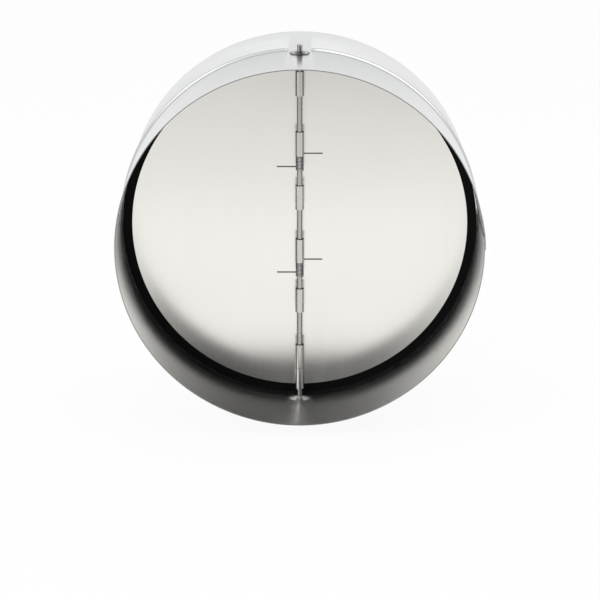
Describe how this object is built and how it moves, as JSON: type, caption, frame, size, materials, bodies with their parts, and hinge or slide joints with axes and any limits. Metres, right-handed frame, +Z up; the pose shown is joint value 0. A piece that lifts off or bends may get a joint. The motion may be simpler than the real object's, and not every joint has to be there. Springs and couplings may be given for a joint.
{
  "type": "backdraft damper",
  "caption": "Round duct sleeve with two spring-closed half-disc blades on an upright shaft, which open with the air flow and shut against a rubber ring.",
  "frame": {"origin": "on the duct's centre line, in the middle plane of the bead, half way along the sleeve", "axes": "+Y along the duct, from the downstream end, where the blades open, to the upstream end; +Z up along the shaft; +X to the right as seen from the downstream end"},
  "size_m": [0.4046, 0.22, 0.418],
  "materials": {
    "galvanised_steel": "satin galvanised sheet",
    "black_rubber": "matt black rubber",
    "aluminium_sheet": "satin rolled sheet",
    "bright_steel": "bright zinc plated",
    "spring_steel": "dark drawn wire"
  },
  "bodies": {
    "sleeve": {"casing": "galvanised_steel", "seal_ring": "black_rubber", "shaft": "bright_steel", "flat_washer_top": "bright_steel", "flat_washer_bottom": "bright_steel", "retaining_clip_top": "bright_steel", "retaining_clip_bottom": "bright_steel", "spring_upper_coil": "spring_steel", "spring_lower_coil": "spring_steel"},
    "left_blade": {"blade_left": "aluminium_sheet", "spring_upper_leg_left": "spring_steel", "spring_lower_leg_left": "spring_steel"},
    "right_blade": {"blade_right": "aluminium_sheet", "spring_upper_leg_right": "spring_steel", "spring_lower_leg_right": "spring_steel"}
  },
  "joints": [
    {"name": "left_blade_hinge", "type": "hinge", "parent": "sleeve", "child": "left_blade", "pos_m": [0, -0.0207, 0], "axis": [0, 0, 1], "range_deg": [0, 80], "stiffness_Nm_per_rad": 0.12, "springref_deg": -22.92},
    {"name": "right_blade_hinge", "type": "hinge", "parent": "sleeve", "child": "right_blade", "pos_m": [0, -0.0207, 0], "axis": [0, 0, -1], "range_deg": [0, 80], "stiffness_Nm_per_rad": 0.12, "springref_deg": -22.92}
  ]
}
